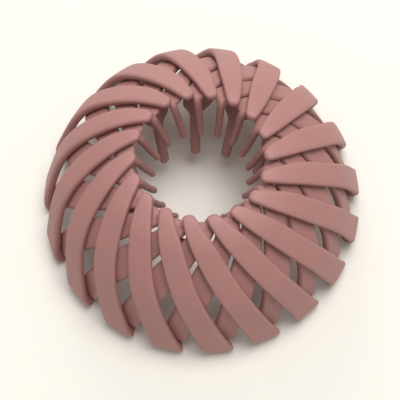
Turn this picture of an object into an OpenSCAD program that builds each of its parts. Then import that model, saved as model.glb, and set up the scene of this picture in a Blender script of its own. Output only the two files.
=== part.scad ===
// Round spiral hair clip: two layers of curved strips around an open mouth.
// Eighteen outer strips run anticlockwise from the mouth to the rim.
// Eighteen inner strips run clockwise below them and end in teeth at the mouth.
// Each outer strip carries two plain posts that sit in bores of inner strips.
// The clip rests on the flat hooked feet of the outer strips, axis along Z.

/* [Ring] */
// Diameter across the rim
ring_d = 86; // [82:1:94]
// Height from the feet to the top of the mouth
ring_h = 35.2; // [33.6:0.2:38.4]
// How far the layers are turned askew as the clip lies, in degrees (0 is regular)
skew_turn = 6.9; // [0:0.1:7.5]
// Direction in which the skew is greatest, in degrees
skew_at = 211; // [0:1:359]

/* [Outer strips] */
// Thickness of an outer strip
outer_t = 2.1; // [1.8:0.1:2.2]
// Width of an outer strip compared with the drawn one
outer_w = 1; // [0.85:0.01:1.03]

/* [Inner strips] */
// Thickness of an inner strip
inner_t = 1.9; // [1.6:0.1:2]
// Width of an inner strip compared with the drawn one
inner_w = 1; // [0.85:0.01:1]
// Play between the two layers
layer_gap = 0.35; // [0.3:0.05:0.5]

/* [Teeth] */
// Radius of the circle through the upper tooth tips
tooth_r = 12.35; // [11:0.05:14]
// Height of the upper tooth tips
tooth_z = 19.5; // [17:0.1:22]
// Radius of the circle through the lower tooth tips
low_r = 17.4; // [16.5:0.1:18.5]
// How far that circle lies toward the front
low_shift = 5.1; // [0:0.1:5.5]
// Height of the lower tooth tips
low_z = 7.3; // [5:0.1:9]

/* [Posts] */
// Diameter of the posts on the outer strips
post_d = 1.2; // [1:0.1:1.3]
// Play between a post and its bore, on the diameter
post_play = 0.3; // [0.2:0.05:0.4]

/* [Hidden] */
$fn = 32;
step = 20;
first = 76.5;
kr = ring_d / 86;
kz = ring_h / 35.2;

// The skew grows from the mouth to the rim with this power of the share of the way
skew_rise = 1.4;

// Outer face of an outer strip, mouth to foot: radius, height, turn, half width
ROWS = [
    [16.4, 35.2, 0, 1.55],
    [19.9, 34.7, 6.1, 2.35],
    [26.9, 31.3, 15.3, 3.25],
    [37.2, 21.5, 24.9, 3.5],
    [42.5, 7.6, 32.3, 3.8],
    [43, 3, 34.3, 4.05],
    [42.2, 0.7, 35, 4],
    [40.4, -0.12, 35.2, 3.9],
    [38.9, -0.12, 35.2, 3.7],
];
LAST = len(ROWS) - 1;

// Block below z = 0 that cuts the feet flat
FLOOR_CUT = [120, 120, 5];

// Inner strip, share of the way from mouth to rim: share, shift of its middle, half width
INNER_W = [
    [0, 1.5, 2.6],
    [0.1, 1.35, 2.65],
    [0.2, 0.85, 2.85],
    [0.3, 0.4, 3.5],
    [0.55, 0, 3.9],
    [0.7, 0.35, 3.35],
    [0.8, 0.25, 3.4],
    [1, 0, 3.5],
];

// Lower tooth, share of the way from tip to strip: share, half width
LOWER_W = [
    [0, 1.35],
    [0.6, 1.45],
    [0.68, 2.2],
    [0.76, 3.7],
    [0.85, 4.1],
    [0.9, 3],
    [0.95, 2.1],
    [1, 2.2],
];

// Path of an inner strip: turn over its length, bow of the turn, start, and its ends on the rows
inner_turn = 36;
inner_bow = 0.8;
inner_at = -7.2;
inner_from = 0.3;
inner_to = 4.55;
inner_off = outer_t + layer_gap + inner_t / 2;

// Upper tooth: its run inside the strip on the rows, reach of the bend at tip and root,
// half width and half thickness at tip and root
tooth_from = 0.42;
tooth_to = 1.2;
tip_reach = 6.5;
root_reach = 1.7;
tooth_half_w = [0.85, 1.15];
tooth_half_t = [0.8, 0.88];

// Turn of tooth tips and of tooth roots against the strip: mean, amplitude, direction
TIP_TURN = [2.9, 4.8, 245];
ROOT_TURN = [4.1, 5.8, 207];

// Lower tooth: turn of its top against its strip, share of its length where it starts to bend
// into the strip; radius and height of its top; its length
low_end = -12.5;
low_bend_from = 0.65;
low_top_r = 20.8;
low_top_z = 30.9;
low_l = 24;

// Turn of the lower teeth's tips and lean of their free part: mean, amplitude, direction
LOW_TURN = [-0.5, 3.5, 0];
LOW_LEAN = [-4, 9, 0];

// Posts: one where strips of both layers first cross, one above the foot;
// a bore of inner strip i is for the outer strip that many numbers on
cross_post_along = 5.8;
cross_post_next = 1;
rim_post_height = 7;
rim_post_across = 1.7;
rim_post_next = 4;

// Round-cornered section of a strip as shares of half width and half thickness
SECTION = [
    [1, 0.4], [0.82, 1], [-0.82, 1], [-1, 0.4],
    [-1, -0.4], [-0.82, -1], [0.82, -1], [1, -0.4],
];

function at(k) = let (
    q = ROWS[max(0, min(LAST, k))])
    [q[0] * kr, q[1] * kz, q[2], q[3] * kr * outer_w];
function row(k) = k < 0 ? 2 * at(0) - at(1) : at(k);

// Smooth curve through the rows at parameter t, 0 at the mouth and LAST at the foot
function curve(t) = let (
    k = max(0, min(LAST - 1, floor(t))),
    u = t - k,
    a = row(k - 1),
    b = row(k),
    c = row(k + 1),
    d = row(k + 2))
    0.5 * (2 * b + (c - a) * u + (2 * a - 5 * b + 4 * c - d) * pow(u, 2)
    + (3 * b - a - 3 * c + d) * pow(u, 3));

// Point of the surface that lies off inside the outer face: radius, height, turn, half width
function shell(t, off) = let (
    q = curve(t),
    d = curve(min(LAST, t + 0.01)) - curve(max(0, t - 0.01)),
    l = norm([d[0], d[1]]))
    [q[0] + off * d[1] / l, q[1] - off * d[0] / l, q[2], q[3]];

function clamp(x) = max(0, min(1, x));
function skew(a, r) = a + skew_turn * cos(a - skew_at)
    * pow(clamp((r - 16.4 * kr) / (26.6 * kr)), skew_rise);
function dome(d, r) = let (
    x = clamp(d / r))
    sqrt(max(0.04, 1 - pow(1 - x, 2)));
function lengths(p) = [
    for (k = 0, s = 0; k < len(p);
        k = k + 1, s = s + (k < len(p) ? norm([p[k][0] - p[k - 1][0], p[k][1] - p[k - 1][1]]) : 0))
        s
];
function column(d, p, c) = [for (k = [0:len(p) - 1]) [d[k], p[k][c]]];

// Path table: length, then lookups of radius, height, turn and half width by length
function path(p) = let (
    d = lengths(p))
    [d[len(d) - 1], column(d, p, 0), column(d, p, 1), column(d, p, 2), column(d, p, 3)];

OUTER = path([for (t = [0:0.05:LAST + 0.001]) shell(min(t, LAST), outer_t / 2)]);

INNER = path([for (t = [inner_from:0.05:inner_to + 0.001]) shell(t, inner_off)]);

// Meridian of the upper tooth: a Bezier curve from its tip, then a run inside the strip
TOOTH_ROW = [for (t = [tooth_from:0.04:tooth_to + 0.001]) shell(t, inner_off)];
ROOT = [TOOTH_ROW[0][0], TOOTH_ROW[0][1]];
ROOT_AIM = let (
    d = ROOT - [TOOTH_ROW[1][0], TOOTH_ROW[1][1]])
    d / norm(d);
TIP = [tooth_r * kr, tooth_z * kz];
TIP_AIM = [-0.55, -1] / norm([-0.55, -1]);
function bezier(a, b, c, d, u) = pow(1 - u, 3) * a + 3 * pow(1 - u, 2) * u * b
    + 3 * (1 - u) * pow(u, 2) * c + pow(u, 3) * d;
TOOTH_FREE = [for (u = [0:0.05:0.951])
    bezier(TIP, TIP - TIP_AIM * tip_reach, ROOT + ROOT_AIM * root_reach, ROOT, u)];
TOOTH = path([for (q = concat(TOOTH_FREE, TOOTH_ROW)) [q[0], q[1], 0, 0]]);
TOOTH_L = lengths(concat(TOOTH_FREE, [ROOT]))[len(TOOTH_FREE)];

// Length along the strip at which the tooth's run inside it ends
tooth_run = [for (v = INNER[1]) if (v[1] > TOOTH_ROW[len(TOOTH_ROW) - 1][0]) v[0]][0];

function place(r, a, z) = [r * cos(a), r * sin(a), z];

// Centre line of outer strip i at the length q from its tip
function outer_point(i, q) = let (
    r = lookup(q, OUTER[1]))
    place(r, skew(first - step * i + lookup(q, OUTER[3]), r), lookup(q, OUTER[2]));

// Turn of an inner strip's centre line against its start, at the length q from the mouth
function inner_swirl(q) = let (
    x = clamp(q / INNER[0]),
    shift = lookup(x, column([for (v = INNER_W) v[0]], INNER_W, 1)) * kr)
    shift / lookup(q, INNER[1]) * 180 / PI - inner_turn * (x + inner_bow * x * (1 - x));

// Centre line of inner strip i at the length q from its end at the mouth
function inner_point(i, q) = let (
    r = lookup(q, INNER[1]),
    a = first - step * i + inner_at + inner_swirl(q))
    place(r, skew(a, r), lookup(q, INNER[2]));

// Turn that varies round the ring as a cosine of the azimuth a
function wave(turn, a) = turn[0] + turn[1] * cos(a - turn[2]);

// Centre line of the upper tooth on inner strip i at the length q from its tip: from its root
// on it goes over to the middle of the strip
function tooth_point(i, q) = let (
    r = lookup(q, TOOTH[1]),
    y = clamp(q / TOOTH_L),
    v = clamp((q - TOOTH_L) / (TOOTH[0] - TOOTH_L)),
    a = first - step * i + inner_at,
    free = wave(TIP_TURN, a) * (1 - y) + wave(ROOT_TURN, a) * y)
    place(r, skew(a + free * (1 - v) + inner_swirl(tooth_run) * v, r), lookup(q, TOOTH[2]));

// Along, across and outward directions on a centre line through a and b
function frame_of(a, b, p) = let (
    t = (b - a) / norm(b - a),
    e = [-p[1], p[0], 0] / norm([p[0], p[1]]),
    w = e - (e * t) * t,
    across = w / norm(w))
    [across, cross(t, across)];

// Ring of section points around p
function ring_at(p, f, half_w, half_t) = [for (s = SECTION)
    p + f[0] * s[0] * half_w + f[1] * s[1] * half_t];

// Closed solid through rings of n points each, ordered along the strip
module skin(rings) {
    n = len(rings[0]);
    m = len(rings);
    sides = [for (k = [0:m - 2], j = [0:n - 1]) let (
        a = k * n + j,
        b = k * n + (j + 1) % n)
        each [[a, b + n, b], [a, a + n, b + n]]];
    cap_a = [for (j = [1:n - 2]) [0, j, j + 1]];
    cap_b = [for (j = [1:n - 2]) [(m - 1) * n, (m - 1) * n + j + 1, (m - 1) * n + j]];
    polyhedron(points = [for (r = rings) each r], faces = concat(sides, cap_a, cap_b));
}

// Places of the rings along an outer strip, as lengths from the tip
OL = OUTER[0];
OUTER_AT = [
    0, 0.5, 1.6,
    for (s = [0.12, 0.25, 0.37, 0.5, 0.64, 0.79, 0.94]) s * (OL - 7.6),
    for (s = [7.6, 5.2, 3.4, 1.4, 0.4, 0]) OL - s,
];
function outer_ring(i, q) = let (
    p = outer_point(i, q),
    f = frame_of(outer_point(i, max(0, q - 0.4)), outer_point(i, min(OL, q + 0.4)), p),
    w = lookup(q, OUTER[4]) * dome(q + 0.1, 1.7) * dome(OL - q + 0.3, 1.5))
    ring_at(p, f, w, outer_t / 2 * dome(q + 0.1, 0.6) * dome(OL - q + 0.2, 0.8));

// Places of the rings along an inner strip, as lengths from its end at the mouth
IL = INNER[0];
INNER_AT = [
    0, 0.6, 1.6,
    for (s = [0.12, 0.24, 0.37, 0.5, 0.65, 0.82]) s * (IL - 4.6),
    for (s = [4.6, 2, 0.8, 0]) IL - s,
];
function inner_ring(i, q) = let (
    p = inner_point(i, q),
    f = frame_of(inner_point(i, max(0, q - 0.4)), inner_point(i, min(IL, q + 0.4)), p),
    w = lookup(q / IL, column([for (v = INNER_W) v[0]], INNER_W, 2)) * kr * inner_w
        * dome(q + 0.1, 1.7) * dome(IL - q + 0.4, 1.6))
    ring_at(p, f, w, inner_t / 2 * dome(q + 0.1, 2.6) * dome(IL - q + 0.2, 0.8));

// Places of the rings along an upper tooth, as lengths from its tip
TL = TOOTH[0];
TOOTH_AT = [
    0, 0.5, 1.2,
    for (s = [0.37, 0.66, 0.85, 1]) s * TOOTH_L,
    TL,
];
function tooth_ring(i, q) = let (
    p = tooth_point(i, q),
    f = frame_of(tooth_point(i, max(0, q - 0.4)), tooth_point(i, min(TL, q + 0.4)), p),
    e = dome(q + 0.05, 0.9) * dome(TL - q + 0.3, 0.6),
    y = q / TL)
    ring_at(p, f, lookup(y, [[0, tooth_half_w[0]], [1, tooth_half_w[1]]]) * e,
        lookup(y, [[0, tooth_half_t[0]], [1, tooth_half_t[1]]]) * e);

// Lower tooth on inner strip i, u 0 at its tip and 1 at the strip: radius of the tip, centre line
function lower_tip(i) = (low_r - low_shift * sin(first - step * i)) * kr;
function lower_point(i, u) = let (
    from = wave(LOW_TURN, first - step * i),
    lean = wave(LOW_LEAN, first - step * i),
    v = clamp((u - low_bend_from) / (1 - low_bend_from)),
    a = first - step * i + from + lean * u + (low_end - from - lean) * pow(v, 2),
    r = lower_tip(i) * (1 - u) + low_top_r * kr * u,
    z = (low_z * (1 - u) + low_top_z * u) * kz)
    place(r, skew(a, r), z);
LOWER_AT = [0, 0.03, 0.07, 0.6, 0.68, 0.76, 0.85, 0.9, 0.95, 1];
function lower_ring(i, u) = let (
    p = lower_point(i, u),
    out = (low_top_r * kr - lower_tip(i)) / norm([p[0], p[1]]),
    f = frame_of([0, 0, 0], [p[0] * out, p[1] * out, (low_top_z - low_z) * kz], p),
    e = dome(u * low_l + 0.05, 1.3))
    ring_at(p, f, lookup(u, LOWER_W) * kr * e, inner_t / 2 * e);

// Post places on an outer strip: length from its tip, distance across
RIM_Q = [for (v = OUTER[2]) if (v[1] < rim_post_height * kz) v[0]][0];
CROSS_POST = [cross_post_along * kr, 0];
RIM_POST = [RIM_Q, rim_post_across];

// Round bar of diameter d at place v of outer strip i, inward from depth a to depth b
module pin(i, v, d, a, b) {
    c = outer_point(i, v[0]);
    f = frame_of(outer_point(i, v[0] - 0.4), outer_point(i, v[0] + 0.4), c);
    p = c + f[0] * v[1];
    n = -f[1];
    translate(p + n * a)
        rotate([0, acos(n[2]), atan2(n[1], n[0])])
        cylinder(d = d, h = b - a);
}

module outer_strip(i) {
    reach = outer_t / 2 + layer_gap + inner_t - 0.1;
    color("rosybrown")
    difference() {
        union() {
            skin([for (q = OUTER_AT) outer_ring(i, q)]);
            pin(i, CROSS_POST, post_d, 0, reach);
            pin(i, RIM_POST, post_d, 0, reach);
        }
        translate([-FLOOR_CUT[0] / 2, -FLOOR_CUT[1] / 2, -FLOOR_CUT[2]])
            cube(FLOOR_CUT);
    }
}

module inner_strip(i) {
    start = outer_t / 2;
    depth = start + layer_gap + inner_t + 0.6;
    color("rosybrown")
    difference() {
        union() {
            skin([for (q = INNER_AT) inner_ring(i, q)]);
            skin([for (q = TOOTH_AT) tooth_ring(i, q)]);
            if (i % 2 == 1) {
                skin([for (u = LOWER_AT) lower_ring(i, u)]);
            }
        }
        pin(i + cross_post_next, CROSS_POST, post_d + post_play, start, depth);
        pin(i + rim_post_next, RIM_POST, post_d + post_play, start, depth);
    }
}

outer_strip(1);  // outer_strip_01
outer_strip(2);  // outer_strip_02
outer_strip(3);  // outer_strip_03
outer_strip(4);  // outer_strip_04
outer_strip(5);  // outer_strip_05
outer_strip(6);  // outer_strip_06
outer_strip(7);  // outer_strip_07
outer_strip(8);  // outer_strip_08
outer_strip(9);  // outer_strip_09
outer_strip(10);  // outer_strip_10
outer_strip(11);  // outer_strip_11
outer_strip(12);  // outer_strip_12
outer_strip(13);  // outer_strip_13
outer_strip(14);  // outer_strip_14
outer_strip(15);  // outer_strip_15
outer_strip(16);  // outer_strip_16
outer_strip(17);  // outer_strip_17
outer_strip(18);  // outer_strip_18
inner_strip(1);  // inner_strip_01
inner_strip(2);  // inner_strip_02
inner_strip(3);  // inner_strip_03
inner_strip(4);  // inner_strip_04
inner_strip(5);  // inner_strip_05
inner_strip(6);  // inner_strip_06
inner_strip(7);  // inner_strip_07
inner_strip(8);  // inner_strip_08
inner_strip(9);  // inner_strip_09
inner_strip(10);  // inner_strip_10
inner_strip(11);  // inner_strip_11
inner_strip(12);  // inner_strip_12
inner_strip(13);  // inner_strip_13
inner_strip(14);  // inner_strip_14
inner_strip(15);  // inner_strip_15
inner_strip(16);  // inner_strip_16
inner_strip(17);  // inner_strip_17
inner_strip(18);  // inner_strip_18
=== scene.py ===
"""A round spiral hair clip in soft-touch dusty rose plastic, lying on a pale floor.

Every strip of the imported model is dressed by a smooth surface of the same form. A strip is a
rounded section carried along a path: the path lies in a meridian curve of the ring, turns round
the axis as it goes out, and the section shrinks to a dome at both ends. Lengths are in
millimetres until a mesh is made, and angles are in radians.
"""

import bpy
import numpy as np
from mathutils import Matrix


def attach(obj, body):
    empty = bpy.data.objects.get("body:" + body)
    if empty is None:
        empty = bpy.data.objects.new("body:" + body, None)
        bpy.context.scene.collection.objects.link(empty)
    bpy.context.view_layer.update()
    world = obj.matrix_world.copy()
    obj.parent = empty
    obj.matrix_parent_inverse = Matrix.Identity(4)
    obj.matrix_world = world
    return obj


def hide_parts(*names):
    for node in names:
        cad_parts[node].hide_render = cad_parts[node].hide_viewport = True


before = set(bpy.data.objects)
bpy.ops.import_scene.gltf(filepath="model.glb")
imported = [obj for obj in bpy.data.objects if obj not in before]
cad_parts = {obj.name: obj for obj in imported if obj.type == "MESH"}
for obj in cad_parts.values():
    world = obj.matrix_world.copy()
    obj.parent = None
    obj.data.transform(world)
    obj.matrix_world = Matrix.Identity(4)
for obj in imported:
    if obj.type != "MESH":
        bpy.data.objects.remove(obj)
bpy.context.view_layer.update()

MM = 0.001
COUNT = 18
STEP = np.radians(20)
FIRST = np.radians(76.5)

# Skew of both layers as the clip lies: amount, direction, and its growth over the radius
SKEW_TURN = np.radians(6.9)
SKEW_AT = np.radians(211)
SKEW_FROM = 16.4
SKEW_OVER = 26.6
SKEW_RISE = 1.4

OUTER_THICK = 2.1
INNER_THICK = 1.9
LAYER_GAP = 0.35
EDGE_ROUND = 0.95

# Outer face of an outer strip, mouth to foot: radius, height, turn in degrees, half width
ROWS = np.array([
    [16.4, 35.2, 0, 1.55],
    [19.9, 34.7, 6.1, 2.35],
    [26.9, 31.3, 15.3, 3.25],
    [37.2, 21.5, 24.9, 3.5],
    [42.5, 7.6, 32.3, 3.8],
    [43, 3, 34.3, 4.05],
    [42.2, 0.7, 35, 4],
    [40.4, -0.12, 35.2, 3.9],
    [38.9, -0.12, 35.2, 3.7],
])

# Outer strip: reach along it over which its bends are eased, rise of its outer face and taper of
# its sides against its half width, and reach and squareness of its rounded tip and foot
BEND_EASE = 2.5
CROWN = 0.045
SIDE_TAPER = 0.16
OUTER_TIP = (1.4, 2.7)
OUTER_FOOT = (4, 2.2)

# Inner strip, share of the way from mouth to rim: share, shift of its middle, half width
INNER_WIDTH = np.array([
    [0, 1.5, 2.6],
    [0.1, 1.35, 2.65],
    [0.2, 0.85, 2.85],
    [0.3, 0.4, 3.5],
    [0.55, 0, 3.9],
    [0.7, 0.35, 3.35],
    [0.8, 0.25, 3.4],
    [1, 0, 3.5],
])

# Path of an inner strip: turn over its length, bow of the turn, start, and its ends on the rows
INNER_TURN = np.radians(36)
INNER_BOW = 0.8
INNER_AT = np.radians(-7.2)
INNER_FROM = 0.3
INNER_TO = 4.55

# Reach of an inner strip's rounded ends at mouth and rim, and of the thinning at its mouth end
INNER_ENDS = (1.7, 1.4)
INNER_TAB_THIN = 2.6

# Reach over which the ends of both kinds of strip thin out
END_THIN = 0.8

# Upper tooth: tip, its aim in the meridian plane, its run inside the strip on the rows, reach of
# the bend at tip and root, half width and half thickness at tip and root, reach of both ends
TOOTH_TIP = np.array([12.35, 19.5])
TOOTH_AIM = np.array([-0.55, -1.0])
TOOTH_FROM = 0.42
TOOTH_TO = 1.2
TIP_REACH = 6.5
ROOT_REACH = 1.7
TOOTH_HALF_WIDTH = (0.85, 1.15)
TOOTH_HALF_THICK = (0.8, 0.88)
TOOTH_ENDS = (0.9, 0.6)

# Turn of tooth tips and of tooth roots against the strip: mean, amplitude, direction
TIP_TURN = (np.radians(2.9), np.radians(4.8), np.radians(245))
ROOT_TURN = (np.radians(4.1), np.radians(5.8), np.radians(207))

# Lower tooth, share of the way from tip to strip: share, half width
LOWER_WIDTH = np.array([
    [0, 1.35],
    [0.6, 1.45],
    [0.68, 2.2],
    [0.76, 3.7],
    [0.85, 4.1],
    [0.9, 3],
    [0.95, 2.1],
    [1, 2.2],
])

# Lower tooth: circle of the tips and its shift, height of the tips, radius and height of the top,
# length, turn and lean as for the upper one, the top's turn and where the bend toward it starts
LOWER_RADIUS = 17.4
LOWER_SHIFT = 5.1
LOWER_TIP_Z = 7.3
LOWER_TOP = (20.8, 30.9)
LOWER_LENGTH = 24
LOWER_TURN = (np.radians(-0.5), np.radians(3.5), 0)
LOWER_LEAN = (np.radians(-4), np.radians(9), 0)
LOWER_END = np.radians(-12.5)
LOWER_BEND_FROM = 0.65
LOWER_TIP_ROUND = 1.3

# Posts: one where strips of both layers first cross, one above the foot, each with a domed end
# that stands a little past the inner layer
POST_RADIUS = 0.6
CROSS_POST_ALONG = 5.8
RIM_POST_HEIGHT = 7
RIM_POST_ACROSS = 1.7
POST_DOME = 0.35
POST_PAST = 0.15

CAMERA_AIM = (-0.44, 1.23, 0)
CAMERA_DISTANCE = 352.4
CAMERA_RISE = np.radians(69)
CAMERA_ROLL = np.radians(-2.2)
CAMERA_LENS = 113.85

PLASTIC = (0.42, 0.202, 0.186)
FLOOR_TINT = (0.9, 0.885, 0.825)
LAMP_TINT = (1, 0.985, 0.97)
SKY_TINT = (1, 0.98, 0.95)
SKY_STRENGTH = 0.42
FLOOR_HALF = 3.0


def smooth_curve(table, t):
    """Catmull-Rom curve: between rows k and k+1 it is the cubic through both whose slopes are
    half the difference of the rows on either side; a row is mirrored past the first end."""
    last = len(table) - 1
    k = np.clip(np.floor(t).astype(int), 0, last - 1)
    u = (t - k)[:, None]
    ends = np.vstack([2 * table[0] - table[1], table, table[last]])
    a, b, c, d = (ends[k + j] for j in range(4))
    return 0.5 * (2 * b + (c - a) * u + (2 * a - 5 * b + 4 * c - d) * u**2
                  + (3 * b - a - 3 * c + d) * u**3)


def shell(t, off):
    """Meridian moved inward by off along its normal: radius + off*dz/ds, height - off*dr/ds."""
    q = smooth_curve(ROWS, t)
    after = smooth_curve(ROWS, np.minimum(len(ROWS) - 1, t + 0.01))
    before = smooth_curve(ROWS, np.maximum(0, t - 0.01))
    along = unit((after - before)[:, :2])
    q[:, 0] += off * along[:, 1]
    q[:, 1] -= off * along[:, 0]
    return q


def lengths(path):
    """Running length of a meridian, the sum of the distances between its points."""
    return np.concatenate([[0], np.cumsum(np.hypot(np.diff(path[:, 0]), np.diff(path[:, 1])))])


def unit(v):
    """Vectors divided by their own length."""
    return v / np.linalg.norm(v, axis=-1, keepdims=True)


def dome(d, reach, power=2):
    """Rise from an end: (1 - (1 - d/reach)^power)^(1/power), 1 beyond reach; a higher power
    gives squarer corners."""
    x = np.clip(d / reach, 0, 1)
    return np.clip(1 - (1 - x) ** power, 0.0004, 1) ** (1 / power)


def smooth_table(places, values, q, reach=1.0):
    """Table of values at places, looked up at lengths q and averaged over reach either way with
    a raised cosine."""
    share = np.linspace(-1, 1, 21)
    weight = 1 + np.cos(np.pi * share)
    rows = np.interp(q[:, None] + np.reshape(reach, (-1, 1)) * share, places, values)
    return rows @ weight / weight.sum()


def eased(path, most):
    """Path averaged along its own length, over a reach that falls from most to 0 at its ends."""
    q = lengths(path)
    reach = np.minimum(most, np.minimum(q, q[-1] - q))
    return np.stack([smooth_table(q, column, q, reach) for column in path.T], -1)


def skew(a, r):
    """Azimuth turned by SKEW_TURN * cos(a - SKEW_AT), growing from mouth to rim with the power
    SKEW_RISE of the share of the way."""
    share = np.clip((r - SKEW_FROM) / SKEW_OVER, 0, 1)
    return a + SKEW_TURN * np.cos(a - SKEW_AT) * share**SKEW_RISE


def place(r, a, z):
    """Cylindrical to straight coordinates."""
    return np.stack([r * np.cos(a), r * np.sin(a), z + 0 * r], -1)


def strip_azimuth(i):
    """Azimuth at which strip i starts; the numbers run clockwise."""
    return FIRST - STEP * i


OUTER_PATH = eased(shell(np.linspace(0, len(ROWS) - 1, 800), OUTER_THICK / 2), BEND_EASE)
OUTER_LENGTH = lengths(OUTER_PATH)

INNER_OFF = OUTER_THICK + LAYER_GAP + INNER_THICK / 2
INNER_PATH = shell(np.linspace(INNER_FROM, INNER_TO, 500), INNER_OFF)
INNER_LENGTH = lengths(INNER_PATH)


def tooth_path():
    """Meridian of the upper tooth: a cubic Bezier from the tip up into the strip's own line,
    then a short run inside the strip. Also the number of points before that run."""
    buried = shell(np.linspace(TOOTH_FROM, TOOTH_TO, 20), INNER_OFF)[:, :2]
    u = np.linspace(0, 1, 200)[:-1, None]
    start = TOOTH_TIP - unit(TOOTH_AIM) * TIP_REACH
    end = buried[0] + unit(buried[0] - buried[1]) * ROOT_REACH
    free = ((1 - u) ** 3 * TOOTH_TIP + 3 * (1 - u) ** 2 * u * start
            + 3 * (1 - u) * u**2 * end + u**3 * buried[0])
    return np.vstack([free, buried]), len(free)


TOOTH_PATH, TOOTH_FREE = tooth_path()
TOOTH_LENGTH = lengths(TOOTH_PATH)
TOOTH_RUN = np.interp(TOOTH_PATH[-1, 0], INNER_PATH[:, 0], INNER_LENGTH)


def outer_point(i, q):
    """Centre line of outer strip i at length q: the shell's meridian, turned by its own swirl."""
    r, z, turn = (np.interp(q, OUTER_LENGTH, OUTER_PATH[:, c]) for c in range(3))
    return place(r, skew(strip_azimuth(i) + np.radians(turn), r), z)


def wave(turn, a):
    """Mean turn plus a cosine of the azimuth: turn holds mean, amplitude and direction."""
    mean, more, toward = turn
    return mean + more * np.cos(a - toward)


def inner_swirl(q):
    """Turn of an inner strip against its start at length q: -INNER_TURN * (x + bow x (1 - x))
    over the share x of the strip, and the shift of its middle as an angle."""
    x = q / INNER_LENGTH[-1]
    shift = np.interp(x, INNER_WIDTH[:, 0], INNER_WIDTH[:, 1])
    r = np.interp(q, INNER_LENGTH, INNER_PATH[:, 0])
    return shift / r - INNER_TURN * (x + INNER_BOW * x * (1 - x))


def inner_point(i, q):
    """Centre line of inner strip i at length q, in the meridian INNER_PATH."""
    r, z = (np.interp(q, INNER_LENGTH, INNER_PATH[:, c]) for c in range(2))
    return place(r, skew(strip_azimuth(i) + INNER_AT + inner_swirl(q), r), z)


def tooth_point(i, q):
    """Centre line of the upper tooth at length q: its azimuth goes evenly from the turn of the
    tip to the turn of the root, then over to the middle of the strip."""
    r, z = (np.interp(q, TOOTH_LENGTH, TOOTH_PATH[:, c]) for c in range(2))
    free_length = TOOTH_LENGTH[TOOTH_FREE]
    y = np.clip(q / free_length, 0, 1)
    v = np.clip((q - free_length) / (TOOTH_LENGTH[-1] - free_length), 0, 1)
    a = strip_azimuth(i) + INNER_AT
    free = wave(TIP_TURN, a) * (1 - y) + wave(ROOT_TURN, a) * y
    return place(r, skew(a + free * (1 - v) + inner_swirl(TOOTH_RUN) * v, r), z)


def lower_tip(i):
    """Radius of the lower tooth's tip: the circle of tips lies LOWER_SHIFT toward the front."""
    return LOWER_RADIUS - LOWER_SHIFT * np.sin(strip_azimuth(i))


def lower_point(i, u):
    """Centre line of the lower tooth: straight up and out from its tip, with an even lean and,
    past LOWER_BEND_FROM, a bend that grows as the square of the way, into its own strip."""
    start, lean = wave(LOWER_TURN, strip_azimuth(i)), wave(LOWER_LEAN, strip_azimuth(i))
    v = np.clip((u - LOWER_BEND_FROM) / (1 - LOWER_BEND_FROM), 0, 1)
    r = lower_tip(i) + (LOWER_TOP[0] - lower_tip(i)) * u
    a = strip_azimuth(i) + start + lean * u + (LOWER_END - start - lean) * v**2
    return place(r, skew(a, r), LOWER_TIP_Z + (LOWER_TOP[1] - LOWER_TIP_Z) * u)


def directions(before, after, p):
    """Across and outward directions: across is the ring's tangent made square to the path,
    outward is the cross product of path and across."""
    along = unit(after - before)
    tangent = unit(np.stack([-p[:, 1], p[:, 0], 0 * p[:, 0]], -1))
    across = unit(tangent - np.sum(tangent * along, -1, keepdims=True) * along)
    return across, np.cross(along, across)


def carried(point, i, q, total, reach=0.3):
    """Centre line point(i, q), with its across and outward directions taken over reach."""
    p = point(i, q)
    before = point(i, np.maximum(0, q - reach))
    after = point(i, np.minimum(total, q + reach))
    return p, *directions(before, after, p)


def end_stations(total, inner, ends=2.2):
    """Lengths along a strip: inner even ones, and at both ends ten that crowd toward the end as
    the square of their number, over the length ends."""
    close = 0.06
    s = np.linspace(0, 1, 10) ** 2 * (ends - close) + close
    s = np.concatenate([[0], s])
    return np.concatenate([s, np.linspace(ends, total - ends, inner)[1:-1], (total - s)[::-1]])


def rounded_section(half, half_thick, crown, taper, corner=8, flat=7):
    """Rounded rectangle: four quarter circles joined by straight runs, for arrays of widths. Its
    x shrinks evenly from the outward to the inward face, by the share taper in all, and the
    outward face stands up in the middle by crown * (1 - (x/w)^2)."""
    half, half_thick = half[:, None], half_thick[:, None]
    ring = np.minimum(EDGE_ROUND, np.minimum(half, half_thick) * 0.98)
    turn = np.linspace(0, np.pi / 2, corner)
    share = np.linspace(0, 1, flat + 2)[1:-1]
    x, y = [], []
    for k, (sx, sy) in enumerate(((1, 1), (-1, 1), (-1, -1), (1, -1))):
        angle = turn + k * np.pi / 2
        x.append((half - ring) * sx + ring * np.cos(angle))
        y.append((half_thick - ring) * sy + ring * np.sin(angle))
        if k % 2 == 0:
            x.append((half - ring) * sx * (1 - 2 * share))
            y.append(half_thick * sy + 0 * share)
    x, y = np.hstack(x), np.hstack(y)
    x = x * (1 - taper * np.clip((half_thick - y) / (2 * half_thick), 0, 1))
    bulge = crown[:, None] * (1 - (x / half) ** 2)
    return x, y + np.where(y > 0, bulge, 0)


def sweep(p, across, outward, half, half_thick, crown=0, taper=0):
    """Surface point = path point + x * across + y * outward over the section's points."""
    x, y = rounded_section(half, half_thick, crown + 0 * half, taper)
    return p[:, None] + x[..., None] * across[:, None] + y[..., None] * outward[:, None]


def grid_faces(rows, columns, first=0):
    """Quads of a closed tube of rows x columns points, with a flat cap at either end."""
    a = np.arange(rows - 1)[:, None] * columns + np.arange(columns)[None]
    b = np.arange(rows - 1)[:, None] * columns + (np.arange(columns)[None] + 1) % columns
    sides = np.stack([a, b, b + columns, a + columns], -1).reshape(-1, 4) + first
    last = (rows - 1) * columns
    cap_a = list(range(first + columns - 1, first - 1, -1))
    cap_b = list(range(first + last, first + last + columns))
    return sides.tolist() + [cap_a, cap_b]


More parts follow.
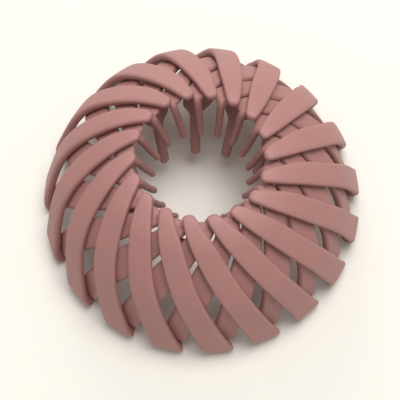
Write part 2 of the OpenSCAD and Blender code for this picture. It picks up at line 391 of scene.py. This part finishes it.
def dressed(node, surfaces, material):
    """Mesh of one or more closed swept surfaces, riding on the root and standing for its node."""
    faces = []
    first = 0
    for s in surfaces:
        faces += grid_faces(s.shape[0], s.shape[1], first)
        first += s.shape[0] * s.shape[1]
    mesh = bpy.data.meshes.new(node + "_skin")
    mesh.from_pydata(np.vstack([s.reshape(-1, 3) for s in surfaces]) * MM, [], faces)
    mesh.update()
    mesh.shade_smooth()
    mesh.materials.append(material)
    piece = bpy.data.objects.new(node + "_skin", mesh)
    bpy.context.collection.objects.link(piece)
    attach(piece, "root")
    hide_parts(node)


def outer_surface(i):
    """Outer strip i on the mid surface of its layer: half width from the rows, rounded tip and
    foot, domed outer face, sides that lean in, and no point below the floor."""
    total = OUTER_LENGTH[-1]
    q = end_stations(total, 120)
    p, across, outward = carried(outer_point, i, q, total, 0.2)
    half = np.interp(q, OUTER_LENGTH, OUTER_PATH[:, 3])
    half = half * dome(q, *OUTER_TIP) * dome(total - q, *OUTER_FOOT)
    thick = OUTER_THICK / 2 * dome(q, END_THIN) * dome(total - q, END_THIN)
    surface = sweep(p, across, outward, half, thick, CROWN * half, SIDE_TAPER)
    surface[..., 2] = np.maximum(surface[..., 2], 0)
    return surface


def inner_surface(i):
    """Inner strip i: half width from its table, with a blunt rounded tab at the mouth and a
    rounded end at the rim."""
    total = INNER_LENGTH[-1]
    q = end_stations(total, 120)
    p, across, outward = carried(inner_point, i, q, total)
    half = smooth_table(INNER_WIDTH[:, 0] * total, INNER_WIDTH[:, 2], q)
    half = half * dome(q, INNER_ENDS[0]) * dome(total - q, INNER_ENDS[1])
    thick = INNER_THICK / 2 * dome(q, INNER_TAB_THIN) * dome(total - q, END_THIN)
    return sweep(p, across, outward, half, thick)


def tooth_surface(i):
    """Upper tooth of inner strip i: an oval finger that grows evenly from tip to root."""
    total = TOOTH_LENGTH[-1]
    q = end_stations(total, 50, ends=1.2)
    p, across, outward = carried(tooth_point, i, q, total)
    ends = dome(q, TOOTH_ENDS[0]) * dome(total - q, TOOTH_ENDS[1])
    half = np.interp(q / total, (0, 1), TOOTH_HALF_WIDTH) * ends
    thick = np.interp(q / total, (0, 1), TOOTH_HALF_THICK) * ends
    return sweep(p, across, outward, half, thick)


def lower_surface(i):
    """Lower tooth of inner strip i: a flat finger with a broad web where it leaves the strip."""
    u = np.linspace(0, 1, 61) ** 1.2
    p = lower_point(i, u)
    rise = unit(p * (1, 1, 0)) * (LOWER_TOP[0] - lower_tip(i)) + (0, 0, LOWER_TOP[1] - LOWER_TIP_Z)
    across, outward = directions(0 * p, rise, p)
    end = dome(u * LOWER_LENGTH, LOWER_TIP_ROUND)
    half = smooth_table(LOWER_WIDTH[:, 0] * LOWER_LENGTH, LOWER_WIDTH[:, 1], u * LOWER_LENGTH)
    return sweep(p, across, outward, half * end, INNER_THICK / 2 * end)


def post_surface(i, along, across_by):
    """Round post from inside outer strip i through the inner layer: a cylinder with a domed end."""
    q = np.array([along])
    p = outer_point(i, q)
    across, outward = directions(outer_point(i, q - 0.4), outer_point(i, q + 0.4), p)
    reach = OUTER_THICK / 2 + LAYER_GAP + INNER_THICK + POST_PAST
    rise = np.sin(np.linspace(0.05, 1, 8) * np.pi / 2)
    depth = np.concatenate([np.linspace(0, reach - POST_DOME, 7), reach - POST_DOME * (1 - rise)])
    radius = POST_RADIUS * dome(reach - depth, POST_DOME)
    angle = np.linspace(0, -2 * np.pi, 24, endpoint=False)
    ring = np.cos(angle)[:, None] * across + np.sin(angle)[:, None] * np.cross(outward, across)
    core = (p + across * across_by)[:, None] - depth[:, None, None] * outward[:, None]
    return core + radius[:, None, None] * ring[None]


class Socket:
    """A node's output in an expression: + and * add Math nodes, with a number on either side."""

    def __init__(self, tree, output):
        self.tree = tree
        self.output = output

    def math(self, operation, other):
        return add_node(self.tree, "ShaderNodeMath", {"operation": operation}, {0: self, 1: other})

    def __add__(self, other):
        return self.math("ADD", other)

    __radd__ = __add__

    def __mul__(self, other):
        return self.math("MULTIPLY", other)

    __rmul__ = __mul__


def fill(tree, node, values):
    """Links or plain values for a node's sockets, given by name or number."""
    for key, value in values.items():
        if isinstance(value, Socket):
            tree.links.new(value.output, node.inputs[key])
        else:
            node.inputs[key].default_value = value


def add_node(tree, kind, settings, values, out=0):
    """New node: its settings first, then its sockets; returns the output numbered out."""
    node = tree.nodes.new(kind)
    for key, value in settings.items():
        setattr(node, key, value)
    fill(tree, node, values)
    return Socket(tree, node.outputs[out])


def object_place(tree):
    """Place on the piece in metres, from Object coordinates."""
    return add_node(tree, "ShaderNodeTexCoord", {}, {}, out=3)


def noise(tree, where, scale, detail, roughness=0.5):
    """Noise of the given scale, as a number."""
    values = {"Vector": where, "Scale": scale, "Detail": detail, "Roughness": roughness}
    return add_node(tree, "ShaderNodeTexNoise", {}, values)


def blend(tree, share, low, high):
    """Colour between low and high."""
    values = {0: share, 6: low, 7: high}
    return add_node(tree, "ShaderNodeMix", {"data_type": "RGBA"}, values, out=2)


def shade(colour, share):
    """Opaque colour made lighter or darker by share."""
    return tuple(min(1, c * share) for c in colour) + (1,)


def new_material(name):
    """An empty material with its node tree and its Principled shader."""
    material = bpy.data.materials.new(name)
    material.use_nodes = True
    tree = material.node_tree
    return material, tree, tree.nodes["Principled BSDF"]


def soft_touch_plastic():
    """Dusty rose plastic: cloudy tone of a few per cent, fine satin grain in roughness and bump."""
    material, tree, shader = new_material("soft_touch_plastic")
    where = object_place(tree)
    cloud = noise(tree, where, 90.0, 3.0)
    grain = noise(tree, where, 5200.0, 2.0, 0.6)
    speck = noise(tree, where, 1500.0, 2.0, 0.55)
    tone = 0.7 * cloud + 0.3 * speck
    relief = {"Strength": 0.12, "Distance": 0.0002, "Height": grain + 0.6 * speck}
    fill(tree, shader, {
        "Base Color": blend(tree, tone, shade(PLASTIC, 0.93), shade(PLASTIC, 1.06)),
        "Roughness": 0.47 + 0.10 * speck,
        "Normal": add_node(tree, "ShaderNodeBump", {}, relief),
        "Specular IOR Level": 0.42,
    })
    return material


def pale_floor():
    """Warm white matt floor with a barely visible mottling."""
    material, tree, shader = new_material("pale_floor")
    cloud = noise(tree, object_place(tree), 12.0, 4.0)
    fill(tree, shader, {
        "Base Color": blend(tree, cloud, shade(FLOOR_TINT, 0.985), shade(FLOOR_TINT, 1)),
        "Roughness": 0.75,
        "Specular IOR Level": 0.2,
    })
    return material


def build_strips(material):
    """All thirty-six strips, each dressing the CAD node of the same name."""
    lowest = np.argmin(OUTER_PATH[:, 1])
    rim_along = np.interp(-RIM_POST_HEIGHT, -OUTER_PATH[:lowest, 1], OUTER_LENGTH[:lowest])
    for i in range(1, COUNT + 1):
        posts = [post_surface(i, CROSS_POST_ALONG, 0), post_surface(i, rim_along, RIM_POST_ACROSS)]
        dressed(f"outer_strip_{i:02d}", [outer_surface(i)] + posts, material)
        teeth = [tooth_surface(i)] + [lower_surface(i)] * (i % 2)
        dressed(f"inner_strip_{i:02d}", [inner_surface(i)] + teeth, material)


def build_floor():
    """Square floor in the plane of the feet."""
    half = FLOOR_HALF
    corners = [(-half, -half, 0), (half, -half, 0), (half, half, 0), (-half, half, 0)]
    mesh = bpy.data.meshes.new("floor")
    mesh.from_pydata(corners, [], [(0, 1, 2, 3)])
    mesh.materials.append(pale_floor())
    floor = bpy.data.objects.new("floor", mesh)
    bpy.context.collection.objects.link(floor)


def put(thing, right, up, back, at):
    """Link a lamp or camera that stands at a place with the given axes, and looks against back."""
    matrix = np.eye(4)
    matrix[:3, 0], matrix[:3, 1], matrix[:3, 2], matrix[:3, 3] = right, up, back, at
    thing.matrix_world = Matrix(matrix.tolist())
    bpy.context.collection.objects.link(thing)


def area_light(name, at, size, power):
    """Square lamp that shines toward the middle of the clip."""
    data = bpy.data.lights.new(name, "AREA")
    data.shape = "SQUARE"
    data.size = size
    data.energy = power
    data.color = LAMP_TINT
    back = unit(np.array(at) - (0, 0, 0.015))
    right = unit(np.cross([0.01, 1, 0.02], back))
    put(bpy.data.objects.new(name, data), right, np.cross(back, right), back, at)


def build_light():
    """Large soft lamp nearly overhead, a faint low one from behind and a pale even sky."""
    area_light("key", (0.12, 0.12, 0.85), 0.5, 5.6)
    area_light("back", (-0.1, 0.6, 0.3), 0.35, 1.0)
    sky = bpy.data.worlds.new("sky")
    sky.use_nodes = True
    background = {"Color": SKY_TINT + (1,), "Strength": SKY_STRENGTH}
    fill(sky.node_tree, sky.node_tree.nodes["Background"], background)
    bpy.context.scene.world = sky
    bpy.context.scene.view_settings.view_transform = "Standard"


def build_camera():
    """Camera at CAMERA_DISTANCE from its aim, raised by CAMERA_RISE and rolled about its view."""
    back = np.array([0, -np.cos(CAMERA_RISE), np.sin(CAMERA_RISE)])
    level = np.array([1.0, 0, 0])
    right = np.cos(CAMERA_ROLL) * level + np.sin(CAMERA_ROLL) * np.cross(back, level)
    data = bpy.data.cameras.new("camera")
    data.lens = CAMERA_LENS
    data.sensor_width = 36
    data.clip_start = 0.01
    camera = bpy.data.objects.new("camera", data)
    at = (np.array(CAMERA_AIM) + CAMERA_DISTANCE * back) * MM
    put(camera, right, np.cross(back, right), back, at)
    bpy.context.scene.camera = camera


build_camera()
build_strips(soft_touch_plastic())
build_floor()
build_light()
